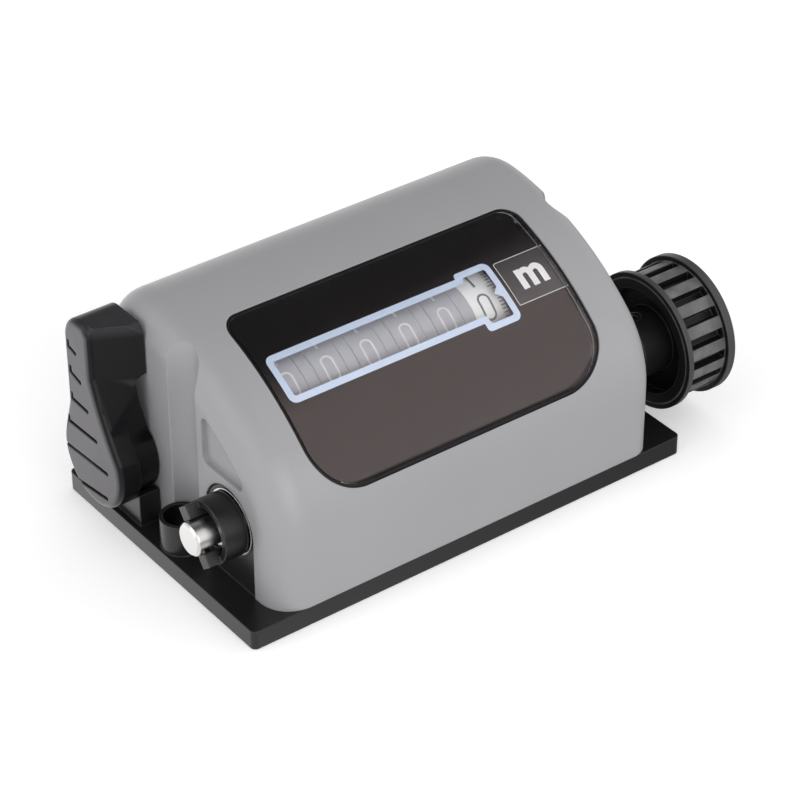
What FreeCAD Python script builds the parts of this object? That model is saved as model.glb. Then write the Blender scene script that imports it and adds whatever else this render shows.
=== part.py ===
import FreeCAD, Part
import math
import os

# A length counter: base plate, moulded cover with a curved lens, drive shaft
# with toothed pulley, six geared number wheels and a reset lever at the left.
# +X runs along the number wheels, -Y is the display side and +Z is up, in mm.

os.makedirs("parts", exist_ok=True)

V = FreeCAD.Vector

# Clearances
running_gap = 0.05
seat_gap = 0.03
free_gap = 0.3

# Base plate
plate_length = 107.0
plate_depth = 66.0
plate_thick = 4.2
plate_corner = 1.2

# Cover: outer sizes, wall and side outline
cover_mid_x = -0.7
cover_width = 93.0
cover_depth = 61.5
cover_height = 51.9
cover_wall = 2.8
front_wall_top = 19.6
brow_r = 22.0
brow_turn = 48.4
ridge_r = 15.5
cover_round_left = 7.0
cover_round_right = 4.5

# Display window, lens, seal and mask
window_width = 71.2
window_run = 41.0
window_from_front = 17.95
window_mid_z = 37.9
window_tilt = 42.0
window_round_top = 4.0
window_round_low = 11.0
lens_sink = 0.2
lens_thick = 1.6
lens_ledge = 2.0
seal_width = 0.8
mask_thick = 0.6
mask_margin = 0.4

# Number train
wheel_count = 6
wheel_pitch = 9.4
wheel_r = 12.3
rim_width = 6.6
units_rim_width = 7.8
hub_r = 4.4
row_left_x = -34.6
wheel_gap = 0.2
wheel_shaft_r = 2.5
wheel_gear_teeth = 20
transfer_module = 1.08
transfer_teeth = 8
transfer_gear_width = 1.3
lug_gap = 0.35
lug_high = 0.8
disc_sides = 30
rim_sides = 60
pinion_side_gap = 0.2
pinion_shaft_r = 1.5
pinion_lean = 25.0
mesh_gap = 0.08

# Drive
drive_from_front = 16.5
drive_z = 17.75
drive_shaft_r = 3.5
drive_module = 0.8
drive_teeth = 21
units_gear_teeth = 21
drive_gear_width = 2.0
drive_hub_width = 5.0
drive_hub_r = 6.4
drive_lean = 48.5
shaft_tip_out = 9.4
shaft_bevel = 0.5
bearing_r = 7.0
bearing_width = 5.0
bearing_sink = 0.3
clip_thick = 0.8
clip_high = 1.8
clip_slot = 3.0
upright_half = 8.6
upright_shoulder = 1.0
arch_r = 8.0

# Coupling sleeve on the left shaft end
sleeve_r = 6.6
sleeve_length = 5.1
sleeve_gap = 0.4
sleeve_cup_r = 5.3
sleeve_cup_deep = 1.4
prong_side = 2.8
prong_reach = 2.8
prong_mid_r = 4.95
prong_turn = 52.6

# Toothed pulley on the right shaft end
pulley_gap = 10.6
pulley_teeth = 18
pulley_pitch = 5.0
pulley_land_drop = 0.42
groove_deep = 1.9
groove_mouth = 2.3
groove_floor = 1.5
flange_r = 15.1
flange_left = 1.2
flange_right = 1.8
belt_width = 9.5
pulley_dish = 2.4
pulley_rim = 3.4
pulley_hub_r = 7.2
pulley_hub_length = 5.0
grub_r = 1.5

# Side frames of the number train
frame_thick = 1.5
frame_left_gap = 1.5
frame_right_gap = 6.4
frame_clear = 2.0
frame_from_front = 11.0
frame_from_back = 5.5
foot_width = 8.0
foot_front_length = 9.0
foot_back_length = 12.0
foot_back_in = 7.0
tie_r = 2.0
tie_low_from_front = 29.0
tie_low_up = 3.8
tie_high_from_back = 8.5
screw_r = 1.5
screw_head_r = 2.8
screw_head_high = 1.8
screw_bite = 3.3
screw_tip_gap = 1.0
foot_screw_in = 3.0

# Cover screws and their bosses
boss_r = 3.2
boss_high = 9.5
boss_front_x = 35.3
boss_back_x = 24.0
boss_sink = 0.4

# Screw sleeves beside the cover and the flutes that clear them
post_out = 1.4
post_from_front = 31.5
post_r = 4.4
post_wall = 0.8
post_high = 7.0
post_hole_r = 2.2
flute_gap = 0.5
flute_wall = 2.0

# Shallow panel in the left wall, between the flute and the display slope
panel_deep = 1.1
panel_from_slope = 7.6
panel_from_flute = 1.6
panel_over_arch = 1.6
panel_round = 1.5

# Reset lever, shaft, sector and arbor pinion
reset_lean = -30.1
reset_shaft_r = 3.0
lever_thick = 5.0
lever_inner_thick = 5.0
lever_gap = 0.3
lever_foot_r = 10.3
lever_hub_r = 9.0
lever_high = 31.3
lever_crown = 5.0
lever_knee_high = 19.8
lever_knee_sag = 0.7
lever_back = 7.4
lever_waist_high = 11.0
lever_front_outer = -1.6
lever_front_inner = -6.2
lever_round = 1.4
lever_notch_deep = 2.3
lever_notch_top = 20.2
lever_notch_low = 4.5
sector_teeth_full = 72
reset_pinion_teeth = 12
reset_module = 0.6
reset_mesh_gap = 0.06
reset_swing = 60.0
sector_thick = 1.8
sector_hub_r = 6.0
sector_gap = 1.7
block_gap = 0.4
block_lead = 8.5
block_depth = 17.0
block_high = 7.3
spring_wire_r = 0.35
spring_gap = 0.5
spring_turns = 3
spring_sides = 12

# Places worked out from the sizes above
plate_top = plate_thick
front_y = -plate_depth / 2
back_y = front_y + cover_depth
left_x = cover_mid_x - cover_width / 2
right_x = cover_mid_x + cover_width / 2
window_mid_y = front_y + window_from_front
drive_y = front_y + drive_from_front
post_y = front_y + post_from_front
frame_front_y = front_y + frame_from_front
frame_back_y = back_y - frame_from_back
tie_low_y = front_y + tie_low_from_front
tie_low_z = plate_top + tie_low_up
tie_high_y = back_y - tie_high_from_back
tie_high_z = cover_height - ridge_r
gear_centre = drive_module * (drive_teeth + units_gear_teeth) / 2 + mesh_gap
wheel_y = drive_y + gear_centre * math.cos(math.radians(drive_lean))
wheel_z = drive_z + gear_centre * math.sin(math.radians(drive_lean))
transfer_centre = transfer_module * (wheel_gear_teeth + transfer_teeth) / 2 + mesh_gap
pinion_y = wheel_y + transfer_centre * math.cos(math.radians(pinion_lean))
pinion_z = wheel_z + transfer_centre * math.sin(math.radians(pinion_lean))
reset_centre = reset_module * (sector_teeth_full + reset_pinion_teeth) / 2 + reset_mesh_gap
reset_y = wheel_y + reset_centre * math.cos(math.radians(reset_lean))
reset_z = wheel_z + reset_centre * math.sin(math.radians(reset_lean))
lever_top_z = reset_z + lever_high
block_y = reset_y - block_lead
rim_space = (wheel_pitch - rim_width) / 2
row_right_x = row_left_x + wheel_pitch * (wheel_count - 1) + rim_space + units_rim_width
frame_left_x = row_left_x - frame_left_gap - frame_thick
frame_right_x = row_right_x + drive_gear_width + frame_right_gap
pulley_x = right_x + pulley_gap
pulley_right_x = pulley_x + flange_left + belt_width + flange_right


def solid_x(radius, x0, x1, y, z):
    """A round bar along X."""
    return Part.makeCylinder(radius, x1 - x0, V(x0, y, z), V(1, 0, 0))


def solid_z(radius, x, y, z0, z1):
    """A round bar along Z."""
    return Part.makeCylinder(radius, z1 - z0, V(x, y, z0), V(0, 0, 1))


def block(x0, x1, y0, y1, z0, z1):
    """A plain box between two corners."""
    return Part.makeBox(x1 - x0, y1 - y0, z1 - z0, V(x0, y0, z0))


def point_at(y, z, radius, angle):
    """A point on a circle in the YZ plane, angle in degrees from +Y to +Z."""
    a = math.radians(angle)
    return V(0, y + radius * math.cos(a), z + radius * math.sin(a))


def arc_yz(y, z, radius, start, end):
    """An arc in the YZ plane between two angles."""
    first = point_at(y, z, radius, start)
    middle = point_at(y, z, radius, (start + end) / 2)
    last = point_at(y, z, radius, end)
    return Part.Arc(first, middle, last).toShape()


def angle_of(y, z):
    """The direction of a YZ vector in degrees."""
    return math.degrees(math.atan2(z, y))


def plate_from(edges, x0, x1):
    """Extrude a closed YZ outline from x0 to x1."""
    face = Part.Face(Part.Wire(Part.__sortEdges__(edges)))
    face.translate(V(x0, 0, 0))
    return face.extrude(V(x1 - x0, 0, 0))


def keep(name, shape):
    """Write one piece as a STEP file."""
    shape.exportStep("parts/" + name + ".step")


# The side outline of the cover: front wall, brow, display slope, ridge, back.
# All its arcs are tangent, so an inset outline keeps the same centres.
def cover_outline(inset, floor_z):
    brow_y = front_y + brow_r
    brow_end = 180 - brow_turn
    join = point_at(brow_y, front_wall_top, brow_r, brow_end)
    ridge_y = back_y - ridge_r
    ridge_z = cover_height - ridge_r
    inward = V(0, brow_y - join.y, front_wall_top - join.z)
    inward.normalize()
    offset = V(0, join.y - ridge_y, join.z - ridge_z)
    slope_r = ridge_r ** 2 - offset.dot(offset)
    slope_r = slope_r / (2 * (offset.dot(inward) + ridge_r))
    slope_y = join.y + inward.y * slope_r
    slope_z = join.z + inward.z * slope_r
    meet = angle_of(ridge_y - slope_y, ridge_z - slope_z)
    front_low = V(0, front_y + inset, floor_z)
    front_high = V(0, front_y + inset, front_wall_top)
    back_high = V(0, back_y - inset, ridge_z)
    back_low = V(0, back_y - inset, floor_z)
    edges = [Part.makeLine(front_low, front_high)]
    edges.append(arc_yz(brow_y, front_wall_top, brow_r - inset, 180, brow_end))
    edges.append(arc_yz(slope_y, slope_z, slope_r - inset, brow_end, meet))
    edges.append(arc_yz(ridge_y, ridge_z, ridge_r - inset, meet, 0))
    edges.append(Part.makeLine(back_high, back_low))
    edges.append(Part.makeLine(back_low, front_low))
    return edges


def cover_body(inset, x0, x1, floor_z):
    """A solid with the cover's side outline, drawn in by an inset."""
    return plate_from(cover_outline(inset, floor_z), x0, x1)


def cover_top(y, inset):
    """The height of the cover's outline, drawn in by an inset, at one y."""
    upright = Part.makeLine(V(0, y, plate_top), V(0, y, cover_height + 1))
    return upright.common(cover_body(inset, -1, 1, plate_top)).BoundBox.ZMax


def arch(x0, x1, y, z, radius, floor_z):
    """A round-topped solid that stands on floor_z."""
    top = solid_x(radius, x0, x1, y, z)
    legs = block(x0, x1, y - radius, y + radius, floor_z, z)
    return top.fuse(legs)


def window_prism(margin):
    """The display window's outline, drawn in by a margin, as a tilted prism."""
    half_x = window_width / 2 - margin
    half_u = window_run / 2 - margin
    top_r = max(window_round_top - margin, 0.5)
    low_r = max(window_round_low - margin, 0.5)
    sheet = Part.makeBox(2 * half_x, 2 * half_u, 40, V(-half_x, -half_u, -14))
    top_edges = []
    low_edges = []
    for edge in sheet.Edges:
        a = edge.Vertexes[0].Point
        b = edge.Vertexes[1].Point
        if abs(a.z - b.z) > 1:
            if a.y > 0:
                top_edges.append(edge)
            else:
                low_edges.append(edge)
    sheet = sheet.makeFillet(top_r, top_edges)
    low_edges = []
    for edge in sheet.Edges:
        a = edge.Vertexes[0].Point
        b = edge.Vertexes[-1].Point
        if abs(a.z - b.z) > 1 and a.y < 0 and abs(a.y + half_u) < 0.001:
            if abs(abs(a.x) - half_x) < 0.001:
                low_edges.append(edge)
    sheet = sheet.makeFillet(low_r, low_edges)
    sheet.rotate(V(0, 0, 0), V(1, 0, 0), window_tilt)
    sheet.translate(V(cover_mid_x, window_mid_y, window_mid_z))
    return sheet


def tilted_box(x0, x1, u0, u1):
    """A box through the window, u measured up the slope from its middle."""
    sheet = Part.makeBox(x1 - x0, u1 - u0, 40, V(x0, u0, -14))
    sheet.rotate(V(0, 0, 0), V(1, 0, 0), window_tilt)
    sheet.translate(V(0, window_mid_y, window_mid_z))
    return sheet


# Toothed outlines: straight flanks laid inside the true curved flank.
def flank_angle(radius, teeth, module, thin):
    pitch_r = module * teeth / 2
    pressure = math.radians(20)
    base_r = pitch_r * math.cos(pressure)
    half = math.pi / (2 * teeth) - thin / pitch_r
    half = half + math.tan(pressure) - pressure
    if radius <= base_r:
        return half
    turn = math.acos(base_r / radius)
    return half - (math.tan(turn) - turn)


def tooth_points(teeth, module, tip, root, thin, middle):
    """The four corners of one tooth, around the angle middle in radians."""
    low = flank_angle(root, teeth, module, thin)
    high = max(flank_angle(tip, teeth, module, thin), 0.02)
    points = []
    for radius, angle in ((root, -low), (tip, -high), (tip, high), (root, low)):
        a = middle + angle
        points.append(V(0, radius * math.cos(a), radius * math.sin(a)))
    return points


def toothed_disc(teeth, module, x0, x1, y, z, phase, stub=0.8, thin=0.06):
    """A spur gear's solid disc, phase is one tooth's direction in degrees."""
    pitch_r = module * teeth / 2
    tip = pitch_r + stub * module
    root = pitch_r - (stub + 0.3) * module
    points = []
    for i in range(teeth):
        middle = math.radians(phase) + 2 * math.pi * i / teeth
        points.extend(tooth_points(teeth, module, tip, root, thin, middle))
    points.append(points[0])
    face = Part.Face(Part.makePolygon(points))
    face.translate(V(x0, y, z))
    return face.extrude(V(x1 - x0, 0, 0))


# Cover: a tapered shell with a framed window, arches for the shafts and
# two vertical flutes that let a screwdriver down to the fixing screws.
def make_cover():
    outer = cover_body(0, left_x, right_x, plate_top)
    left_edges = []
    right_edges = []
    for edge in outer.Edges:
        box = edge.BoundBox
        if box.ZMax - plate_top < 0.001:
            continue
        if box.XMax - left_x < 0.001:
            left_edges.append(edge)
        if right_x - box.XMin < 0.001:
            right_edges.append(edge)
    outer = outer.makeFillet(cover_round_left, left_edges)
    right_edges = []
    for edge in outer.Edges:
        box = edge.BoundBox
        if right_x - box.XMin < 0.001 and box.ZMax - plate_top > 0.001:
            right_edges.append(edge)
    outer = outer.makeFillet(cover_round_right, right_edges)
    inner = cover_body(cover_wall, left_x + cover_wall, right_x - cover_wall, plate_top - 1)
    shell = outer.cut(inner)
    walls = []
    flutes = []
    for x in (left_x - post_out, right_x + post_out):
        flute_r = post_r + flute_gap
        flutes.append(solid_z(flute_r, x, post_y, plate_top - 1, cover_height + 1))
        walls.append(solid_z(flute_r + flute_wall, x, post_y, plate_top, cover_height))
    for wall in walls:
        shell = shell.fuse(wall.common(outer))
    for x, y in boss_places():
        post = solid_z(boss_r, x, y, plate_top, plate_top + boss_high)
        shell = shell.fuse(post)
    for flute in flutes:
        shell = shell.cut(flute)
    for x, y in boss_places():
        hole_top = plate_top + boss_high - screw_tip_gap
        shell = shell.cut(solid_z(screw_r + seat_gap, x, y, plate_top - 1, hole_top))
    recess = outer.cut(cover_body(lens_sink + lens_thick + running_gap, left_x - 1,
                                  right_x + 1, plate_top - 1))
    shell = shell.cut(recess.common(window_prism(0)))
    shell = shell.cut(window_prism(lens_ledge))
    for x0, x1 in ((left_x - 1, left_x + cover_wall + 1), (right_x - cover_wall - 1, right_x + 1)):
        shell = shell.cut(arch(x0, x1, drive_y, drive_z, arch_r, plate_top - 1))
    slot_r = reset_shaft_r + 2 * free_gap
    shell = shell.cut(arch(left_x - 1, left_x + cover_wall + 1, reset_y, reset_z,
                           slot_r, plate_top - 1))
    return shell.cut(wall_panel()).removeSplitter()


def wall_panel():
    """The shallow three-cornered panel sunk in the left wall."""
    low = drive_z + arch_r + panel_over_arch
    back = post_y - post_r - flute_gap - panel_from_flute
    panel = cover_body(panel_from_slope, left_x - 1, left_x + panel_deep, plate_top)
    panel = panel.common(block(left_x - 2, left_x + panel_deep + 1, front_y, back, low,
                               cover_height))
    corners = []
    for edge in panel.Edges:
        box = edge.BoundBox
        if box.XLength > panel_deep and (box.YMax > back - 0.001 or box.ZMin < low + 0.001):
            corners.append(edge)
    return panel.makeFillet(panel_round, corners)


def boss_places():
    """The four cover screws: two at the front wall, two at the back wall."""
    front = front_y + cover_wall + boss_r - boss_sink
    back = back_y - cover_wall - boss_r + boss_sink
    places = []
    for side in (-1, 1):
        places.append((cover_mid_x + side * boss_front_x, front))
        places.append((cover_mid_x + side * boss_back_x, back))
    return places


def make_lens():
    skin = cover_body(lens_sink, left_x, right_x, plate_top)
    skin = skin.cut(cover_body(lens_sink + lens_thick, left_x - 1, right_x + 1, plate_top - 1))
    return skin.common(window_prism(seal_width))


def make_seal():
    skin = cover_body(2 * lens_sink, left_x, right_x, plate_top)
    skin = skin.cut(cover_body(lens_sink + lens_thick, left_x - 1, right_x + 1, plate_top - 1))
    ring = window_prism(seat_gap).cut(window_prism(seal_width - seat_gap))
    return skin.common(ring)


def make_mask():
    under = lens_sink + lens_thick + running_gap
    skin = cover_body(under, left_x, right_x, plate_top)
    skin = skin.cut(cover_body(under + mask_thick, left_x - 1, right_x + 1, plate_top - 1))
    sheet = skin.common(window_prism(lens_ledge + mask_margin))
    row_end = row_left_x + wheel_pitch * (wheel_count - 1) + 0.6
    sheet = sheet.cut(tilted_box(row_left_x + 1.6, row_end + 1, -0.8, 9.5))
    return sheet.cut(tilted_box(row_end, row_right_x - 1.1, -2.7, 10.7))


# Base moulding: plate, bearing uprights, screw sleeves and lever cradle.
def make_base():
    base = block(-plate_length / 2, plate_length / 2, -plate_depth / 2, plate_depth / 2,
                 0, plate_thick)
    corners = []
    for edge in base.Edges:
        if abs(edge.Vertexes[0].Z - edge.Vertexes[1].Z) > 1:
            corners.append(edge)
    base = base.makeFillet(plate_corner, corners)
    for side, wall_x in ((1, left_x), (-1, right_x)):
        base = base.fuse(bearing_upright(side, wall_x))
    for x in (left_x - post_out, right_x + post_out):
        base = base.fuse(solid_z(post_r, x, post_y, 0, plate_top + post_high))
    cradle_x1 = left_x - lever_gap
    cradle_x0 = cradle_x1 - lever_inner_thick + lever_gap
    cradle = block(cradle_x0, cradle_x1, block_y, block_y + block_depth,
                   plate_top - 1, plate_top + block_high)
    cradle = cradle.cut(solid_x(lever_hub_r + block_gap, cradle_x0 - 1, cradle_x1 + 1,
                                reset_y, reset_z))
    base = base.fuse(cradle)
    for x in (left_x - post_out, right_x + post_out):
        base = base.cut(solid_z(post_r - post_wall, x, post_y, plate_top,
                                plate_top + post_high + 1))
        base = base.cut(solid_z(post_hole_r, x, post_y, -1, plate_top + 1))
    for x, y in boss_places():
        base = base.cut(solid_z(screw_r + 2 * running_gap, x, y, -1, plate_top + 1))
        base = base.cut(solid_z(screw_head_r + 2 * running_gap, x, y, -1,
                                screw_head_high + seat_gap))
    for x, y in foot_screw_places():
        base = base.cut(solid_z(screw_r + seat_gap, x, y, plate_top - screw_bite - 0.2,
                                plate_top + 1))
    return base.removeSplitter()


def bearing_upright(side, wall_x):
    """A bearing block: a plug in the cover's arch and a wider pad inside."""
    def reach(distance):
        return wall_x + side * distance
    plug = sorted((reach(bearing_sink), reach(cover_wall + free_gap)))
    pad = sorted((reach(cover_wall + free_gap),
                  reach(bearing_sink + bearing_width + upright_shoulder)))
    shape = arch(plug[0], plug[1], drive_y, drive_z, arch_r - free_gap, 1)
    shape = shape.fuse(arch(pad[0], pad[1], drive_y, drive_z, upright_half, 1))
    pocket = sorted((reach(bearing_sink - 1), reach(bearing_sink + bearing_width)))
    shape = shape.cut(solid_x(bearing_r + seat_gap, pocket[0], pocket[1], drive_y, drive_z))
    through = sorted((reach(0), reach(cover_wall + bearing_width + 3)))
    return shape.cut(solid_x(drive_shaft_r + 1.2, through[0], through[1], drive_y, drive_z))


def make_bearing(side, wall_x):
    """A shielded ball bearing as one ring."""
    face = wall_x + side * bearing_sink
    x0, x1 = sorted((face, face + side * bearing_width))
    ring = solid_x(bearing_r, x0, x1, drive_y, drive_z)
    ring = ring.cut(solid_x(drive_shaft_r + seat_gap, x0 - 1, x1 + 1, drive_y, drive_z))
    return ring


# Side frames: steel plates with bent feet that carry the shafts.
def frame_plate(x0, foot_side):
    points = [V(x0, frame_front_y, plate_top)]
    for share in (0, 0.2, 0.57, 0.86, 1):
        y = frame_front_y + share * (frame_back_y - frame_front_y)
        points.append(V(x0, y, cover_top(y, cover_wall + frame_clear)))
    points.append(V(x0, frame_back_y, plate_top))
    points.append(points[0])
    sheet = Part.Face(Part.makePolygon(points)).extrude(V(frame_thick, 0, 0))
    if foot_side > 0:
        foot = (x0, x0 + foot_width)
    else:
        foot = (x0 + frame_thick - foot_width, x0 + frame_thick)
    front_foot = (frame_front_y, frame_front_y + foot_front_length)
    back_foot = (frame_back_y - foot_back_in - foot_back_length, frame_back_y - foot_back_in)
    for y0, y1 in (front_foot, back_foot):
        sheet = sheet.fuse(block(foot[0], foot[1], y0, y1, plate_top, plate_top + frame_thick))
    gap = block(x0 - 1, x0 + frame_thick + 1, front_foot[1], back_foot[0],
                plate_top - 1, plate_top + frame_thick)
    sheet = sheet.cut(gap)
    x1 = x0 + frame_thick
    for radius, y, z in ((drive_shaft_r + 1.0, drive_y, drive_z),
                         (wheel_shaft_r + running_gap, wheel_y, wheel_z),
                         (pinion_shaft_r + seat_gap, pinion_y, pinion_z),
                         (reset_shaft_r + running_gap, reset_y, reset_z)):
        sheet = sheet.cut(solid_x(radius, x0 - 1, x1 + 1, y, z))
    for x, y in foot_screw_places():
        sheet = sheet.cut(solid_z(screw_r + running_gap, x, y, plate_top - 1,
                                  plate_top + frame_thick + 1))
    return sheet.removeSplitter()


def foot_screw_places():
    """The four screws that hold the frames' feet on the base."""
    left = frame_left_x + frame_thick + foot_width / 2 - 0.5
    right = frame_right_x + frame_thick + foot_width / 2 - 0.5
    places = []
    for x in (left, right):
        places.append((x, frame_front_y + foot_screw_in))
        places.append((x, frame_back_y - foot_back_in - foot_back_length / 2))
    return places


def make_tie_rods():
    """Two spacer rods between the frames."""
    rods = []
    for y, z in ((tie_low_y, tie_low_z), (tie_high_y, tie_high_z)):
        rod = solid_x(tie_r, frame_left_x + frame_thick, frame_right_x, y, z)
        rods.append(rod)
    return Part.makeCompound(rods)


def hex_screw(x, y, head_z, tip_z):
    """A hexagon screw from the free face of its head to its tip."""
    down = math.copysign(1, tip_z - head_z)
    corners = []
    for i in range(7):
        a = math.radians(60 * i)
        corners.append(V(x + screw_head_r * math.cos(a), y + screw_head_r * math.sin(a), head_z))
    head = Part.Face(Part.makePolygon(corners)).extrude(V(0, 0, down * screw_head_high))
    low, high = sorted((head_z + down * 0.5, tip_z))
    return head.fuse(solid_z(screw_r, x, y, low, high)).removeSplitter()


# Number wheels: each drum has its driven gear on the right and a locking
# disc with two transfer lugs on the left.
def make_wheel(order):
    """Wheel 1 shows the units and is the rightmost."""
    cell = row_left_x + wheel_pitch * (wheel_count - order)
    rim0 = cell + rim_space
    if order == 1:
        rim1 = rim0 + units_rim_width
        gear_width = drive_gear_width
    else:
        rim1 = rim0 + rim_width
        gear_width = transfer_gear_width
    gear1 = rim1 + gear_width
    disc0 = rim0 - transfer_gear_width
    if order == wheel_count:
        disc0 = rim0
    wheel = many_sided(wheel_r, rim0, rim1, wheel_y, wheel_z, rim_sides)
    if order == 1:
        wheel = wheel.fuse(toothed_disc(units_gear_teeth, drive_module, rim1, gear1, wheel_y,
                                        wheel_z, 180 + drive_lean + 180.0 / units_gear_teeth))
    else:
        wheel = wheel.fuse(toothed_disc(wheel_gear_teeth, transfer_module, rim1, gear1, wheel_y,
                                        wheel_z, pinion_lean + 180.0 / wheel_gear_teeth))
    if order < wheel_count:
        pinion_tip = transfer_module * (transfer_teeth / 2 + 0.8)
        lug_r = transfer_centre - pinion_tip - lug_gap
        disc = many_sided(lug_r - lug_high, disc0, rim0, wheel_y, wheel_z, disc_sides)
        for turn in (-9, 9):
            lug = block(disc0, rim0, lug_r - lug_high - 0.6, lug_r - 0.04, -0.6, 0.6)
            lug.rotate(V(0, 0, 0), V(1, 0, 0), turn + pinion_lean + 90)
            lug.translate(V(0, wheel_y, wheel_z))
            disc = disc.fuse(lug)
        wheel = wheel.fuse(disc)
    wheel = wheel.cut(solid_x(wheel_shaft_r + running_gap, disc0 - 1, gear1 + 1, wheel_y, wheel_z))
    return wheel.removeSplitter()


def many_sided(radius, x0, x1, y, z, sides):
    """A regular many-sided disc along X."""
    points = [point_at(y, z, radius, 360.0 * i / sides) for i in range(sides)]
    points.append(points[0])
    face = Part.Face(Part.makePolygon(points))
    face.translate(V(x0, 0, 0))
    return face.extrude(V(x1 - x0, 0, 0))


def make_pinion(order):
    """The pinion between wheel order and wheel order + 1, at its left."""
    cell = row_left_x + wheel_pitch * (wheel_count - order)
    x0 = cell - rim_space + pinion_side_gap
    x1 = cell + rim_space - pinion_side_gap
    pinion = toothed_disc(transfer_teeth, transfer_module, x0, x1, pinion_y, pinion_z,
                          180 + pinion_lean)
    pinion = pinion.cut(solid_x(pinion_shaft_r + running_gap, x0 - 1, x1 + 1, pinion_y, pinion_z))
    return pinion


def ring_x(outer, inner, x0, x1, y, z):
    """A plain ring along X."""
    return solid_x(outer, x0, x1, y, z).cut(solid_x(inner, x0 - 1, x1 + 1, y, z))


# Drive line: shaft with a milled flat, gear, pulley, coupling sleeve, clips.
def make_drive_shaft():
    tip = left_x - shaft_tip_out
    shaft = solid_x(drive_shaft_r, tip, pulley_right_x - 1.0, drive_y, drive_z)
    ends = [edge for edge in shaft.Edges if edge.Closed]
    shaft = shaft.makeChamfer(shaft_bevel, ends)
    flat = Part.makeBox(5.0, 10.0, 4.0, V(tip + 1.0, -5.0, -drive_shaft_r - 3.2))
    flat.rotate(V(0, 0, 0), V(1, 0, 0), -40)
    flat.translate(V(0, drive_y, drive_z))
    return shaft.cut(flat)


def make_drive_gear():
    x0 = row_right_x
    gear = toothed_disc(drive_teeth, drive_module, x0, x0 + drive_gear_width, drive_y, drive_z,
                        drive_lean)
    gear = gear.fuse(solid_x(drive_hub_r, x0 + drive_gear_width - 0.1,
                             x0 + drive_gear_width + drive_hub_width, drive_y, drive_z))
    bore = solid_x(drive_shaft_r + seat_gap, x0 - 1, x0 + 20, drive_y, drive_z)
    return gear.cut(bore).removeSplitter()


def make_sleeve():
    x1 = left_x + bearing_sink - sleeve_gap
    x0 = x1 - sleeve_length
    sleeve = solid_x(sleeve_r, x0, x1, drive_y, drive_z)
    sleeve = sleeve.cut(solid_x(sleeve_cup_r, x0 - 1, x0 + sleeve_cup_deep, drive_y, drive_z))
    for turn in (prong_turn, prong_turn + 180):
        half = prong_side / 2
        prong = block(x0 - prong_reach, x0 + sleeve_cup_deep + 0.5, prong_mid_r - half,
                      prong_mid_r + half, -half, half)
        prong.rotate(V(0, 0, 0), V(1, 0, 0), turn)
        prong.translate(V(0, drive_y, drive_z))
        sleeve = sleeve.fuse(prong)
    bore = solid_x(drive_shaft_r + seat_gap, x0 - 9, x1 + 1, drive_y, drive_z)
    return sleeve.cut(bore).removeSplitter()


def make_pulley():
    """A toothed belt pulley between two flanges, with a hub at the left."""
    land_r = pulley_teeth * pulley_pitch / (2 * math.pi) - pulley_land_drop
    floor_r = land_r - groove_deep
    points = []
    for i in range(pulley_teeth):
        middle = 2 * math.pi * i / pulley_teeth
        mouth = groove_mouth / 2 / land_r
        low = groove_floor / 2 / floor_r
        for radius, angle in ((land_r, -mouth), (floor_r, -low), (floor_r, low),
                              (land_r, mouth)):
            a = middle + angle
            points.append(V(0, radius * math.cos(a), radius * math.sin(a)))
        points.append(V(0, land_r * math.cos(middle + math.pi / pulley_teeth),
                        land_r * math.sin(middle + math.pi / pulley_teeth)))
    points.append(points[0])
    belt_x0 = pulley_x + flange_left
    belt_x1 = belt_x0 + belt_width
    body = Part.Face(Part.makePolygon(points)).extrude(V(belt_width, 0, 0))
    body.translate(V(belt_x0, drive_y, drive_z))
    left = solid_x(flange_r, pulley_x, belt_x0, drive_y, drive_z)
    right = solid_x(flange_r, belt_x1, pulley_right_x, drive_y, drive_z)
    body = body.fuse(right).fuse(left)
    dish = solid_x(flange_r - pulley_rim, pulley_x - 1, pulley_x + pulley_dish, drive_y, drive_z)
    body = body.cut(dish)
    hub = solid_x(pulley_hub_r, pulley_x - pulley_hub_length, pulley_x + pulley_dish + 0.5,
                  drive_y, drive_z)
    body = body.fuse(hub)
    body = body.cut(solid_x(drive_shaft_r + seat_gap, pulley_x - 9, pulley_right_x + 1,
                            drive_y, drive_z))
    grub_x = pulley_x - pulley_hub_length / 2
    body = body.cut(solid_z(grub_r + seat_gap, grub_x, drive_y, drive_z, drive_z + 20))
    return body.removeSplitter()


def make_grub():
    grub_x = pulley_x - pulley_hub_length / 2
    low = drive_z + drive_shaft_r + 2 * seat_gap
    grub = solid_z(grub_r, grub_x, drive_y, low, drive_z + pulley_hub_r - 0.3)
    key = solid_z(grub_r / 2, grub_x, drive_y, drive_z + pulley_hub_r - 1.5,
                  drive_z + pulley_hub_r)
    return grub.cut(key)


def make_clips():
    """Two snap rings on the drive shaft, inside the bearings."""
    rings = []
    inner = bearing_sink + bearing_width + upright_shoulder + free_gap
    for x0 in (left_x + inner, right_x - inner - clip_thick):
        ring = many_sided(drive_shaft_r + clip_high, x0, x0 + clip_thick, drive_y, drive_z, 16)
        ring = ring.cut(solid_x(drive_shaft_r + seat_gap, x0 - 1, x0 + clip_thick + 1,
                                drive_y, drive_z))
        slot = block(x0 - 1, x0 + clip_thick + 1, drive_y - clip_slot / 2,
                     drive_y + clip_slot / 2, drive_z - drive_shaft_r - 2 * clip_high, drive_z)
        rings.append(ring.cut(slot))
    return Part.makeCompound(rings)


# Reset: a lever on a cross shaft turns the wheels' arbor once by a toothed
# sector, which brings every wheel back to nought.
def sector_x0():
    """The sector's left face, clear of the flute's inner wall."""
    return frame_left_x - sector_gap - sector_thick


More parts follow.
